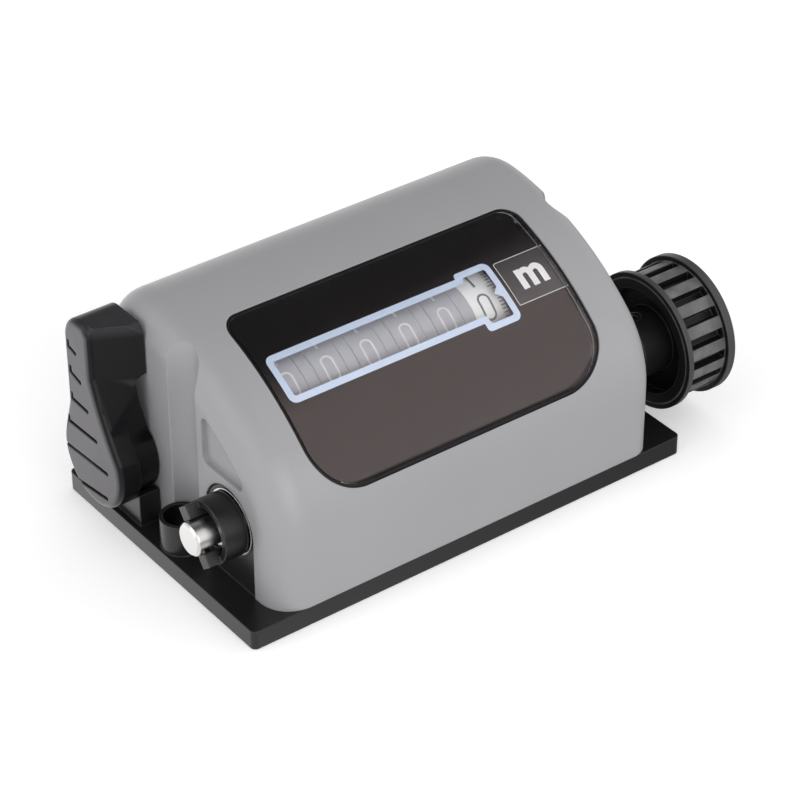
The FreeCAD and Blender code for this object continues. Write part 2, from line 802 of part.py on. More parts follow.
def make_sector():
    x0 = sector_x0()
    x1 = x0 + sector_thick
    pitch_r = reset_module * sector_teeth_full / 2
    facing = angle_of(wheel_y - reset_y, wheel_z - reset_z)
    step = 360.0 / sector_teeth_full
    before = int(reset_swing / step) + 1
    tip = pitch_r + 0.8 * reset_module
    root = pitch_r - 1.1 * reset_module
    points = [V(0, 0, 0)]
    for i in range(-before, 1):
        middle = math.radians(facing + (i + 0.5) * step)
        points.extend(tooth_points(sector_teeth_full, reset_module, tip, root, 0.05, middle))
    points.append(points[0])
    sheet = Part.Face(Part.makePolygon(points)).extrude(V(sector_thick, 0, 0))
    sheet.translate(V(x0, reset_y, reset_z))
    hub = solid_x(sector_hub_r, x0, x1, reset_y, reset_z)
    sheet = sheet.fuse(hub)
    bore = solid_x(reset_shaft_r + seat_gap, x0 - 1, x1 + 1, reset_y, reset_z)
    return sheet.cut(bore).removeSplitter()


def make_reset_pinion():
    x0 = sector_x0() - 0.2
    x1 = sector_x0() + sector_thick + 0.2
    facing = angle_of(reset_y - wheel_y, reset_z - wheel_z)
    gear = toothed_disc(reset_pinion_teeth, reset_module, x0, x1, wheel_y, wheel_z, facing,
                        0.8, 0.05)
    return gear.cut(solid_x(wheel_shaft_r + seat_gap, x0 - 1, x1 + 1, wheel_y, wheel_z))


def stem_outline(front, low_points):
    """The lever from the side: straight in front, waisted behind."""
    front_y = reset_y + front
    back = reset_y + lever_back
    top = lever_top_z
    front_high = V(0, front_y, top - 2.0)
    top_front = V(0, front_y + 1.6, top)
    top_back = V(0, back - lever_crown, top)
    back_high = V(0, back, top - lever_crown)
    waist = V(0, back, reset_z + lever_waist_high)
    reach = math.hypot(lever_back, lever_waist_high)
    touch = angle_of(lever_back, lever_waist_high)
    touch = touch - math.degrees(math.acos(lever_foot_r / reach))
    back_low = point_at(reset_y, reset_z, lever_foot_r, touch)
    edges = [Part.makeLine(front_high, top_front)]
    edges.append(Part.makeLine(top_front, top_back))
    edges.append(arc_yz(back - lever_crown, top - lever_crown, lever_crown, 90, 0))
    edges.append(Part.makeLine(back_high, waist))
    edges.append(Part.makeLine(waist, back_low))
    knee = V(0, front_y, low_points)
    edges.append(Part.makeLine(knee, front_high))
    return edges, knee, back_low, touch


def make_lever():
    """One moulding whose front face runs back from the wall to the outer side."""
    x1 = left_x - lever_gap
    x_mid = x1 - lever_inner_thick
    x0 = x_mid - lever_thick
    knee_z = reset_z + lever_knee_high
    edges, knee, back_low, touch = stem_outline(lever_front_outer, knee_z)
    foot_front = point_at(reset_y, reset_z, lever_foot_r, 160)
    sag = (knee + foot_front) * 0.5 + V(0, lever_knee_sag, 0)
    edges.append(Part.Arc(knee, sag, foot_front).toShape())
    edges.append(arc_yz(reset_y, reset_z, lever_foot_r, 160, 360 + touch))
    paddle = plate_from(edges, x0, x_mid)
    rim = []
    for edge in paddle.Edges:
        if edge.BoundBox.XMax - x0 < 0.001:
            rim.append(edge)
    paddle = paddle.makeFillet(lever_round, rim)
    edges, low, back_low, touch = stem_outline(lever_front_inner, reset_z + 2.0)
    edges.append(Part.makeLine(back_low, low))
    stem = plate_from(edges, x0 + lever_round, x1)
    lean = (lever_front_outer - lever_front_inner) / (x1 - x0 - lever_round)
    corners = [V(x0, knee.y - 30, knee_z), V(x0, knee.y + lean * lever_round, knee_z),
               V(x1 + 1, knee.y - lean * (x1 + 1 - x0 - lever_round), knee_z),
               V(x1 + 1, knee.y - 30, knee_z)]
    corners.append(corners[0])
    plan = Part.Face(Part.makePolygon(corners))
    stem = stem.cut(plan.extrude(V(0, 0, lever_high)))
    stem = stem.cut(plan.extrude(foot_front - knee))
    lever = paddle.fuse(stem)
    lever = lever.fuse(solid_x(lever_hub_r, x_mid - 1, x1, reset_y, reset_z))
    deep = lever_notch_deep
    top = reset_z + lever_notch_top
    low = reset_z + lever_notch_low
    span = top - low
    corners = [V(x1 + 1, 0, top + 0.5), V(x1 - deep, 0, top - 1.5), V(x1 - deep, 0, top - 3.0),
               V(x1 - deep * 0.78, 0, top - span * 0.4), V(x1 - deep * 0.4, 0, top - span * 0.65),
               V(x1 + 0.2, 0, low), V(x1 + 1, 0, low)]
    corners.append(corners[0])
    notch = Part.Face(Part.makePolygon(corners)).extrude(V(0, 4 * lever_foot_r, 0))
    notch.translate(V(0, reset_y - 2 * lever_foot_r, 0))
    hub = solid_x(reset_shaft_r + 1.5, x1 - deep - 0.5, x1, reset_y, reset_z)
    lever = lever.cut(notch).fuse(hub)
    socket = solid_x(reset_shaft_r + seat_gap, x1 - lever_inner_thick - 1.0, x1 + 1,
                     reset_y, reset_z)
    return lever.cut(socket).removeSplitter()


def make_spring():
    """A torsion spring round the reset shaft, beside the left frame."""
    coil_r = reset_shaft_r + spring_gap + spring_wire_r
    pitch = 2 * spring_wire_r + 0.15
    x0 = frame_left_x + frame_thick + spring_wire_r + running_gap
    rings = []
    for i in range(spring_turns * spring_sides + 1):
        a = 2 * math.pi * i / spring_sides
        x = x0 + pitch * i / spring_sides
        ring = []
        for dr, dx in ((-1, -1), (1, -1), (1, 1), (-1, 1)):
            r = coil_r + dr * spring_wire_r
            ring.append(V(x + dx * spring_wire_r, reset_y + r * math.cos(a),
                          reset_z + r * math.sin(a)))
        rings.append(ring)
    faces = []
    for near, far in zip(rings, rings[1:]):
        for i in range(4):
            j = (i + 1) % 4
            faces.append(Part.Face(Part.makePolygon([near[i], near[j], far[j], near[i]])))
            faces.append(Part.Face(Part.makePolygon([near[i], far[j], far[i], near[i]])))
    for end in (rings[0], rings[-1]):
        faces.append(Part.Face(Part.makePolygon(end + [end[0]])))
    coil = Part.Solid(Part.Shell(faces))
    if coil.Volume < 0:
        coil.reverse()
    return coil


keep("base_plate", make_base())
keep("cover", make_cover())
keep("lens", make_lens())
keep("lens_seal", make_seal())
keep("display_mask", make_mask())
keep("frame_left", frame_plate(frame_left_x, 1))
keep("frame_right", frame_plate(frame_right_x, 1))
keep("tie_rods", make_tie_rods())
foot_top = plate_top + frame_thick
keep("frame_screws", Part.makeCompound([hex_screw(x, y, foot_top + screw_head_high,
                                                  plate_top - screw_bite)
                                        for x, y in foot_screw_places()]))
keep("cover_screws", Part.makeCompound([hex_screw(x, y, 0, plate_top + boss_high - 2 * screw_tip_gap)
                                        for x, y in boss_places()]))
keep("bearing_left", make_bearing(1, left_x))
keep("bearing_right", make_bearing(-1, right_x))
keep("pinion_shaft", solid_x(pinion_shaft_r, frame_left_x - 0.5,
                             frame_right_x + frame_thick + 0.5, pinion_y, pinion_z))
keep("drive_shaft", make_drive_shaft())
keep("drive_gear", make_drive_gear())
keep("drive_clips", make_clips())
keep("coupling_sleeve", make_sleeve())
keep("drive_pulley", make_pulley())
keep("pulley_grub_screw", make_grub())
for wheel_order in range(1, wheel_count + 1):
    keep("number_wheel_" + str(wheel_order), make_wheel(wheel_order))
for pinion_order in range(1, wheel_count):
    keep("transfer_pinion_" + str(pinion_order), make_pinion(pinion_order))
keep("wheel_shaft", solid_x(wheel_shaft_r, sector_x0() - 0.4, frame_right_x + frame_thick + 0.8,
                            wheel_y, wheel_z))
keep("wheel_spacer", ring_x(hub_r, wheel_shaft_r + seat_gap,
                            row_right_x + drive_gear_width + wheel_gap, frame_right_x - 0.1,
                            wheel_y, wheel_z))
keep("reset_pinion", make_reset_pinion())
keep("reset_sector", make_sector())
keep("reset_shaft", solid_x(reset_shaft_r, left_x - lever_gap - lever_inner_thick - 0.9,
                            frame_right_x + frame_thick + 0.8, reset_y, reset_z))
keep("reset_lever", make_lever())
keep("reset_spring", make_spring())
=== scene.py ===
import math
import bmesh
import bpy
from mathutils import Matrix, Vector


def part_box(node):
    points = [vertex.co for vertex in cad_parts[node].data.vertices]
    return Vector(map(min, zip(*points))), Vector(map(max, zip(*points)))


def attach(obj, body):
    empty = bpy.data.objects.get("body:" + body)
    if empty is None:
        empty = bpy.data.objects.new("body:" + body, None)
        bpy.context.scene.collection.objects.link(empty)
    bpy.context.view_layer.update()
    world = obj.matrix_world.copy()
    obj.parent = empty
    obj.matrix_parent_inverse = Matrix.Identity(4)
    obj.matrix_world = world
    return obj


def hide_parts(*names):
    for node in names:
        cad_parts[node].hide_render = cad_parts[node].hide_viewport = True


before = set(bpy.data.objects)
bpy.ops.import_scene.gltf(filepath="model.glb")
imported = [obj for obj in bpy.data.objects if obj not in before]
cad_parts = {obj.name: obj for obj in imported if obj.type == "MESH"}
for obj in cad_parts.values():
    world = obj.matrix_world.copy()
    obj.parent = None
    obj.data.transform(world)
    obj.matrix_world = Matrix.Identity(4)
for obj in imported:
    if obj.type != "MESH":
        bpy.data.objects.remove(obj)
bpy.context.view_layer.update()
bpy.ops.object.select_all(action="DESELECT")

# Studio: a pale floor, a white surround, three soft lamps and a dark flag that
# only reflections see. The camera stands where the photographer stood.
def wire(tree, kind, settings=(), sockets=()):
    """Add a node, set its options, and feed its sockets with values or other outputs."""
    made = tree.nodes.new("ShaderNode" + kind)
    for key, value in dict(settings).items():
        setattr(made, key, value)
    for key, value in dict(sockets).items():
        if isinstance(value, bpy.types.NodeSocket):
            tree.links.new(value, made.inputs[key])
        else:
            made.inputs[key].default_value = value
    return made


bpy.ops.mesh.primitive_plane_add(size=6, location=(0, 0, -0.0002))
floor = bpy.context.object
floor.name = "floor"
floor_paper = bpy.data.materials.new("floor_paper")
floor_paper.use_nodes = True
tree = floor_paper.node_tree
fibre = wire(tree, "TexNoise", {}, {"Scale": 60})
tint = wire(tree, "ValToRGB", {}, {"Fac": fibre.outputs["Fac"]})
tint.color_ramp.elements[0].color = (0.90, 0.90, 0.905, 1)
tint.color_ramp.elements[1].color = (0.94, 0.94, 0.94, 1)
seen = wire(tree, "LightPath")
lift = wire(tree, "Math", {"operation": "MULTIPLY"}, {0: seen.outputs["Is Camera Ray"], 1: 0.30})
paper = tree.nodes["Principled BSDF"]
paper.inputs["Roughness"].default_value = 0.9
paper.inputs["Specular IOR Level"].default_value = 0.1
paper.inputs["Emission Color"].default_value = (1, 1, 1, 1)
tree.links.new(tint.outputs["Color"], paper.inputs["Base Color"])
tree.links.new(lift.outputs[0], paper.inputs["Emission Strength"])
# For reflections only, the floor glows brighter behind at the left: painted light that stands in
# for a lit table.
at = wire(tree, "TexCoord").outputs["Object"]
toward = wire(tree, "VectorMath", {"operation": "DOT_PRODUCT"}, {0: at, 1: (-0.6, 0.8, 0)})
painted_floor_glow = wire(tree, "MapRange", {}, {"Value": toward.outputs["Value"], "From Min": -0.06,
                                   "From Max": 0.09, "To Min": 0.35, "To Max": 1.7})
mirrored = wire(tree, "Emission", {}, {"Strength": painted_floor_glow.outputs["Result"]})
mix = wire(tree, "MixShader", {}, {0: seen.outputs["Is Glossy Ray"], 1: paper.outputs[0],
                                   2: mirrored.outputs[0]})
tree.links.new(mix.outputs[0], tree.nodes["Material Output"].inputs["Surface"])
floor.data.materials.append(floor_paper)

# The surround is white to the eye and in mirrors, and a little weaker as a light.
surround = bpy.data.worlds.new("white_surround")
bpy.context.scene.world = surround
surround.use_nodes = True
tree = surround.node_tree
ray = wire(tree, "LightPath")
seen = wire(tree, "Math", {"operation": "MAXIMUM"},
            {0: ray.outputs["Is Camera Ray"], 1: ray.outputs["Is Transmission Ray"]})
either = wire(tree, "Math", {"operation": "MAXIMUM"},
              {0: seen.outputs[0], 1: ray.outputs["Is Glossy Ray"]})
level = wire(tree, "MapRange", {}, {"Value": either.outputs[0], "To Min": 0.63, "To Max": 1.0})
backdrop = tree.nodes["Background"]
backdrop.inputs["Color"].default_value = (1, 1, 1, 1)
tree.links.new(level.outputs["Result"], backdrop.inputs["Strength"])

# The right lamp only fills the shade, so it is kept out of what is mirrored.
for name, place, size, power, mirrored in (
    ("lamp_left", (-1.2, 0.1, 0.8), 1.2, 3.8, True),
    ("lamp_front", (-0.2, -1.25, 0.5), 1.0, 8.0, True),
    ("lamp_right", (1.2, -0.3, 0.8), 1.0, 2.5, False),
):
    bpy.ops.object.light_add(type="AREA", location=place)
    lamp = bpy.context.object
    lamp.name = name
    lamp.data.size = size
    lamp.data.energy = power
    lamp.visible_glossy = lamp.visible_transmission = mirrored
    lamp.rotation_euler = (-Vector(place)).to_track_quat("-Z", "Y").to_euler()

# The flag is a dark card above at the right. It darkens only what is mirrored.
bpy.ops.mesh.primitive_plane_add(size=2.4, location=(0.6, 0.5, 0.9))
flag = bpy.context.object
flag.name = "flag"
for way in ("camera", "diffuse", "shadow", "volume_scatter"):
    setattr(flag, "visible_" + way, False)
card = bpy.data.materials.new("flag_card")
card.use_nodes = True
tree = card.node_tree
tree.nodes.clear()
at = wire(tree, "TexCoord").outputs["Object"]
on_card = wire(tree, "SeparateXYZ", {}, {0: at})
slant = wire(tree, "Math", {"operation": "MULTIPLY_ADD"},
             {0: on_card.outputs["X"], 1: -1.0, 2: on_card.outputs["Y"]})
edge = wire(tree, "MapRange", {"interpolation_type": "SMOOTHSTEP"},
            {"Value": slant.outputs[0], "From Min": -0.80, "From Max": -0.28})
black = wire(tree, "Emission", {}, {"Color": (0.0, 0.0, 0.0, 1)})
clear_air = wire(tree, "BsdfTransparent")
blend = wire(tree, "MixShader", {},
             {0: edge.outputs["Result"], 1: clear_air.outputs[0], 2: black.outputs[0]})
wire(tree, "OutputMaterial", {}, {"Surface": blend.outputs[0]})
flag.data.materials.append(card)

bpy.ops.object.camera_add(location=(-0.29327, -0.40041, 0.36140))
camera = bpy.context.object
turn = Matrix.Rotation(math.radians(-36.806), 4, "Z")
tilt = Matrix.Rotation(math.radians(55.264), 4, "X")
roll = Matrix.Rotation(math.radians(-0.214), 4, "Z")
camera.rotation_euler = (turn @ tilt @ roll).to_euler()
camera.data.lens = 134.21
camera.data.sensor_width = 36
camera.data.shift_x = -0.0019
camera.data.clip_start = 0.05
bpy.context.scene.camera = camera
bpy.context.scene.view_settings.view_transform = "Standard"


# Base moulding: one black plastic moulding with the plate, the two bearing
# uprights, the screw sleeves and the lever's cradle. It has a fine satin grain,
# and its edges are rubbed a little lighter.
def effect(name, inputs, outputs):
    """An empty shader node group with named sockets."""
    tree = bpy.data.node_groups.new(name, "ShaderNodeTree")
    for side, sockets in (("INPUT", inputs), ("OUTPUT", outputs)):
        for label, kind, value in sockets:
            socket = tree.interface.new_socket(label, in_out=side, socket_type="NodeSocket" + kind)
            if side == "INPUT" and value is not None:
                socket.default_value = value
    return tree, tree.nodes.new("NodeGroupInput"), tree.nodes.new("NodeGroupOutput")


# Mould grain: fine pits over a slow cloudy change, as height and as a mask.
grain, given, gives = effect(
    "mould_grain",
    [("Size", "Float", 1800.0), ("Cloud Size", "Float", 60.0)],
    [("Height", "Float", None), ("Cloud", "Float", None)],
)
at = wire(grain, "TexCoord").outputs["Object"]
fine = wire(grain, "TexNoise", {}, {"Vector": at, "Scale": given.outputs["Size"], "Detail": 3.0})
slow = wire(grain, "TexNoise", {},
            {"Vector": at, "Scale": given.outputs["Cloud Size"], "Detail": 4.0})
grain.links.new(fine.outputs["Fac"], gives.inputs["Height"])
grain.links.new(slow.outputs["Fac"], gives.inputs["Cloud"])

# Rubbed edges: the rounded normal turns away from the flat one at an edge,
# and a patchy noise breaks the line up.
rub, given, gives = effect(
    "rubbed_edges",
    [("Reach", "Float", 0.0006), ("Patch Size", "Float", 300.0), ("Amount", "Float", 0.5)],
    [("Mask", "Float", None), ("Normal", "Vector", None)],
)
at = wire(rub, "TexCoord").outputs["Object"]
round_off = wire(rub, "Bevel", {"samples": 6}, {"Radius": given.outputs["Reach"]})
unrounded = wire(rub, "NewGeometry").outputs["Normal"]
same = wire(rub, "VectorMath", {"operation": "DOT_PRODUCT"},
            {0: round_off.outputs[0], 1: unrounded})
turned = wire(rub, "Math", {"operation": "SUBTRACT"}, {0: 1.0, 1: same.outputs["Value"]})
patch = wire(rub, "TexNoise", {},
             {"Vector": at, "Scale": given.outputs["Patch Size"], "Detail": 3.0})
strong = wire(rub, "Math", {"operation": "MULTIPLY"},
              {0: turned.outputs[0], 1: patch.outputs["Fac"]})
scaled = wire(rub, "Math", {"operation": "MULTIPLY", "use_clamp": True},
              {0: strong.outputs[0], 1: given.outputs["Amount"]})
rub.links.new(scaled.outputs[0], gives.inputs["Mask"])
rub.links.new(round_off.outputs[0], gives.inputs["Normal"])


def finish(name, dark, light, worn, rough, reach=0.0004, wear=4.0, size=1800.0, pits=0.15,
           metal=0.0, specular=0.5, pit_depth=0.00002):
    """A moulded or machined surface: two tones in slow clouds, rubbed edges, fine pits."""
    made = bpy.data.materials.new(name)
    made.use_nodes = True
    tree = made.node_tree
    skin = tree.nodes["Principled BSDF"]
    pitted = wire(tree, "Group", {"node_tree": grain}, {"Size": size, "Cloud Size": 45.0})
    rubbed = wire(tree, "Group", {"node_tree": rub}, {"Reach": reach, "Amount": wear})
    tones = wire(tree, "Mix", {"data_type": "RGBA"},
                 {0: pitted.outputs["Cloud"], 6: (*dark, 1), 7: (*light, 1)})
    edged = wire(tree, "Mix", {"data_type": "RGBA"},
                 {0: rubbed.outputs["Mask"], 6: tones.outputs[2], 7: (*worn, 1)})
    tree.links.new(edged.outputs[2], skin.inputs["Base Color"])
    sheen = wire(tree, "MapRange", {},
                 {"Value": pitted.outputs["Cloud"], "To Min": rough - 0.05, "To Max": rough + 0.06})
    tree.links.new(sheen.outputs["Result"], skin.inputs["Roughness"])
    dents = wire(tree, "Bump", {},
                 {"Height": pitted.outputs["Height"], "Normal": rubbed.outputs["Normal"],
                  "Strength": pits, "Distance": pit_depth})
    tree.links.new(dents.outputs["Normal"], skin.inputs["Normal"])
    skin.inputs["Metallic"].default_value = metal
    skin.inputs["Specular IOR Level"].default_value = specular
    return made


def dress(material, *names):
    """Give CAD nodes their finish."""
    for name in names:
        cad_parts[name].material_slots[0].material = material


black_satin = finish("black_satin",
                     (0.009, 0.009, 0.010), (0.014, 0.014, 0.015), (0.06, 0.06, 0.062),
                     0.30, specular=0.4)
dress(black_satin, "base_plate")

# Side frames, tie rods, screws and snap rings: steel with bright zinc. The frames
# are punched plates with bent feet screwed to the base, and the rods space them.
zinc = finish("zinc_steel", (0.42, 0.43, 0.44), (0.56, 0.57, 0.58), (0.75, 0.75, 0.76),
              0.34, metal=1.0)
dress(zinc, "frame_left", "frame_right", "tie_rods", "frame_screws", "cover_screws", "drive_clips")

# Ball bearings: ground steel rings with a pressed shield between them, pushed into
# the uprights. Bevel, ring lands and sunk shield are separate steps on each face.
# The plain shafts are ground from the same steel.
mm = 0.001


def pick(piece):
    """Make one object the only selected and the active one."""
    bpy.ops.object.select_all(action="DESELECT")
    piece.select_set(True)
    bpy.context.view_layer.objects.active = piece


def choose(piece, kind, test):
    """In edit mode, select the corners, edges or faces whose middle passes a test."""
    bpy.ops.mesh.select_mode(type=kind)
    bpy.ops.mesh.select_all(action="DESELECT")
    net = bmesh.from_edit_mesh(piece.data)
    for item in {"VERT": net.verts, "EDGE": net.edges, "FACE": net.faces}[kind]:
        if kind == "VERT":
            middle = item.co
        elif kind == "EDGE":
            middle = (item.verts[0].co + item.verts[1].co) / 2
        else:
            middle = item.calc_center_median()
        if test(middle):
            item.select_set(True)
    net.select_flush_mode()
    bmesh.update_edit_mesh(piece.data)


def use(piece, kind, settings):
    """Add a modifier with its settings and apply it."""
    added = piece.modifiers.new(kind.lower(), kind)
    for key, value in settings.items():
        setattr(added, key, value)
    pick(piece)
    bpy.ops.object.modifier_apply(modifier=added.name)


def settle(piece, name, body, material, smooth=35):
    """Apply the piece's place, name and finish it, and let it ride on its body."""
    pick(piece)
    bpy.ops.object.transform_apply(location=True, rotation=True, scale=True)
    bpy.ops.object.shade_smooth_by_angle(angle=math.radians(smooth))
    piece.name = name
    piece.data.name = name
    piece.data.materials.clear()
    piece.data.materials.append(material)
    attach(piece, body)


def off_axis(at):
    """How far a point lies from the X axis."""
    return math.hypot(at.y, at.z)


ground_steel = finish("ground_steel", (0.60, 0.59, 0.585), (0.72, 0.71, 0.70), (0.85, 0.84, 0.83),
                      0.22, metal=1.0)
dress(ground_steel, "pinion_shaft", "wheel_shaft", "reset_shaft")
# Width and sink of each step on a face, from the rim in: bevel, outer land, step
# down, shield, step up, inner land. What is left in the middle is the bore.
ring_steps = ((0.25, 0), (0.75, 0), (0.12, -0.35), (1.25, 0), (0.12, 0.35), (0.95, 0))
bore_within = 3.6 * mm
for side in ("left", "right"):
    low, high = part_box("bearing_" + side)
    bpy.ops.mesh.primitive_cylinder_add(vertices=72, radius=(high[2] - low[2]) / 2,
                                        depth=high[0] - low[0], rotation=(0, math.pi / 2, 0))
    ring = bpy.context.object
    bpy.ops.object.transform_apply(location=False, rotation=True, scale=False)
    bpy.ops.object.mode_set(mode="EDIT")
    choose(ring, "FACE", lambda at: off_axis(at) < mm)
    for wide, sink in ring_steps:
        bpy.ops.mesh.inset(thickness=wide * mm, depth=sink * mm, use_individual=True)
    bpy.ops.mesh.delete(type="FACE")
    choose(ring, "EDGE", lambda at: off_axis(at) < bore_within)
    bpy.ops.mesh.bridge_edge_loops()
    bpy.ops.mesh.select_all(action="SELECT")
    bpy.ops.mesh.normals_make_consistent(inside=False)
    bpy.ops.object.mode_set(mode="OBJECT")
    ring.location = (Vector(low) + Vector(high)) / 2
    settle(ring, "bearing_ring_" + side, "chassis", ground_steel)
    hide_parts("bearing_" + side)

# Drive shaft: bright steel, turned and ground, with bevelled ends and a flat
# milled at the left one. It runs in both bearings, and two snap rings keep it there.
shaft_steel = finish("polished_shaft",
                     (0.62, 0.605, 0.595), (0.70, 0.685, 0.675), (0.85, 0.84, 0.83),
                     0.26, metal=1.0)
dress(shaft_steel, "drive_shaft")

# Brass gears, cut from the bar: the drive gear is fixed on the drive shaft, the
# reset pinion on the wheels' arbor, and the sector on the lever's shaft.
cut_brass = finish("cut_brass", (0.62, 0.44, 0.19), (0.72, 0.53, 0.25), (0.85, 0.70, 0.40),
                   0.3, metal=1.0)
dress(cut_brass, "drive_gear", "reset_pinion", "reset_sector")

# Transfer pinions and spacer: moulded in natural white plastic. The pinions turn
# on their own fixed shaft, and the spacer fills the arbor beside the wheels.
natural = finish("natural_plastic", (0.72, 0.70, 0.64), (0.80, 0.78, 0.73), (0.85, 0.84, 0.80),
                 0.45)
dress(natural, "transfer_pinion_1", "transfer_pinion_2", "transfer_pinion_3", "transfer_pinion_4",
      "transfer_pinion_5", "wheel_spacer")

# Number wheels: silver grey mouldings, the units wheel white. A smooth band
# is shrunk on each rim and carries ten figures, drawn as thin rounded lines.
wheel_silver = finish("wheel_silver", (0.47, 0.47, 0.51), (0.53, 0.53, 0.57), (0.6, 0.6, 0.62), 0.4)
wheel_white = finish("wheel_white", (0.93, 0.93, 0.94), (0.96, 0.96, 0.96), (0.9, 0.9, 0.9), 0.4)
ink_white = finish("ink_white", (0.80, 0.80, 0.82), (0.88, 0.88, 0.90), (0.9, 0.9, 0.9), 0.5)
ink_grey = finish("ink_grey", (0.20, 0.20, 0.215), (0.25, 0.25, 0.265), (0.3, 0.3, 0.3), 0.5)
dress(wheel_silver, *("number_wheel_" + str(order) for order in range(2, 7)))
dress(wheel_white, "number_wheel_1")
band_r = 12.32 * mm
band_thick = 0.3
figure_tall = 5.86
figure_wide = 2.9
figure_line = 0.45
figure_cuts = 0.9      # a figure bends at every such step up its height
ink_thick = 0.02
row_left = -34.6       # where the cell of the leftmost wheel begins
wheel_pitch = 9.4
rim_start = 1.4        # from a cell's left side to its rim
rim_wide = 6.6
units_wide = 7.8
units_mid = 17.7
scale_right = 21.45
wheel_lean = 38.4      # from the top of the wheel to the nought in the window
units_lean = 41.5
low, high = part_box("wheel_shaft")
axle_y = (low[1] + high[1]) / 2
axle_z = (low[2] + high[2]) / 2


def flat(x0, x1, y0, y1):
    """A flat rectangle between two corners, in millimetres."""
    bpy.ops.mesh.primitive_plane_add(size=mm, location=((x0 + x1) / 2 * mm, (y0 + y1) / 2 * mm, 0))
    piece = bpy.context.object
    piece.scale = (x1 - x0, y1 - y0, 1)
    bpy.ops.object.transform_apply(location=True, rotation=False, scale=True)
    return piece


def slices(piece, axis, places):
    """Cut a mesh across at places along one axis, so that it can bend there."""
    way = Vector((0, 0, 0))
    way[axis] = 1
    pick(piece)
    bpy.ops.object.mode_set(mode="EDIT")
    for place in places:
        bpy.ops.mesh.select_all(action="SELECT")
        bpy.ops.mesh.bisect(plane_co=way * place * mm, plane_no=way)
    bpy.ops.object.mode_set(mode="OBJECT")


def letter(sign, weight, wide, tall):
    """A flat sign in the plain built-in letter form, made wide and tall as given."""
    bpy.ops.object.text_add()
    piece = bpy.context.object
    piece.data.body = sign
    piece.data.offset = weight
    piece.data.resolution_u = 6
    bpy.ops.object.convert(target="MESH")
    xs = [v.co.x for v in piece.data.vertices]
    ys = [v.co.y for v in piece.data.vertices]
    rise = tall * mm / (max(ys) - min(ys))
    run = rise if wide is None else wide * mm / (max(xs) - min(xs))
    piece.location = (-(max(xs) + min(xs)) / 2 * run, -(max(ys) + min(ys)) / 2 * rise, 0)
    piece.scale = (run, rise, 1)
    bpy.ops.object.transform_apply(location=True, rotation=False, scale=True)
    return piece


def rounded(piece, radius, test, steps=6):
    """Round the corners that pass a test, in the flat."""
    pick(piece)
    bpy.ops.object.mode_set(mode="EDIT")
    choose(piece, "VERT", test)
    bpy.ops.mesh.bevel(offset=radius * mm, segments=steps, affect="VERTICES")
    bpy.ops.object.mode_set(mode="OBJECT")


def merge(pieces):
    """Join flat prints into one object."""
    bpy.ops.object.select_all(action="DESELECT")
    for piece in pieces:
        piece.select_set(True)
    bpy.context.view_layer.objects.active = pieces[0]
    bpy.ops.object.join()
    return pieces[0]


def make_band(wide):
    """A thin smooth band round the X axis."""
    bpy.ops.mesh.primitive_cylinder_add(vertices=144, radius=band_r, depth=wide * mm,
                                        end_fill_type="NOTHING", rotation=(0, math.pi / 2, 0))
    made = bpy.context.object
    bpy.ops.object.transform_apply(location=False, rotation=True, scale=False)
    use(made, "SOLIDIFY", {"thickness": band_thick * mm, "offset": -1})
    use(made, "BEVEL", {"width": 0.12 * mm, "segments": 3, "limit_method": "ANGLE"})
    return made


def lay_on_band(piece, former, turn):
    """Lay a flat print on the top of the band, give it thickness, and turn it round the axis."""
    piece.location.z = band_r + mm
    use(piece, "SHRINKWRAP", {"target": former, "wrap_method": "PROJECT", "use_project_z": True,
                              "use_positive_direction": False, "use_negative_direction": True})
    bpy.ops.object.transform_apply(location=True, rotation=False, scale=False)
    use(piece, "SOLIDIFY", {"thickness": ink_thick * mm, "offset": 1})
    piece.rotation_euler = (math.radians(turn), 0, 0)
    bpy.ops.object.transform_apply(location=False, rotation=True, scale=False)


def numerals(former, weight):
    """Ten figures round the band: nought on top, the next ones behind it."""
    made = []
    for number in range(10):
        if number == 0:
            piece = flat(-figure_wide / 2, figure_wide / 2, -figure_tall / 2, figure_tall / 2)
            rounded(piece, figure_wide / 2 - 0.05, lambda at: True, 8)
            bpy.ops.object.mode_set(mode="EDIT")
            bpy.ops.mesh.select_all(action="SELECT")
            bpy.ops.mesh.inset(thickness=figure_line * mm)
            bpy.ops.mesh.delete(type="FACE")
            bpy.ops.object.mode_set(mode="OBJECT")
        else:
            piece = letter(str(number), weight, None, figure_tall)
        slices(piece, 1, [i * figure_cuts for i in range(-3, 4)])
        lay_on_band(piece, former, -36 * number)
        made.append(piece)
    return merge(made)


former = make_band(8.0)
figures = numerals(former, -0.02)
# The scale has a short tick at each hundredth and a long one at each tenth.
marks = []
scale_edge = scale_right - units_mid
for long, count in ((1.1, 100), (1.7, 10)):
    tick = flat(scale_edge - long, scale_edge, -0.1, 0.1)
    lay_on_band(tick, former, 18)
    bpy.ops.object.mode_set(mode="EDIT")
    bpy.ops.mesh.select_all(action="SELECT")
    bpy.ops.mesh.spin(steps=count, angle=math.tau, center=(0, 0, 0), axis=(1, 0, 0), dupli=True)
    bpy.ops.mesh.select_all(action="SELECT")
    bpy.ops.mesh.remove_doubles(threshold=0.002 * mm)
    bpy.ops.object.mode_set(mode="OBJECT")
    marks.append(tick)
graduation = merge(marks)

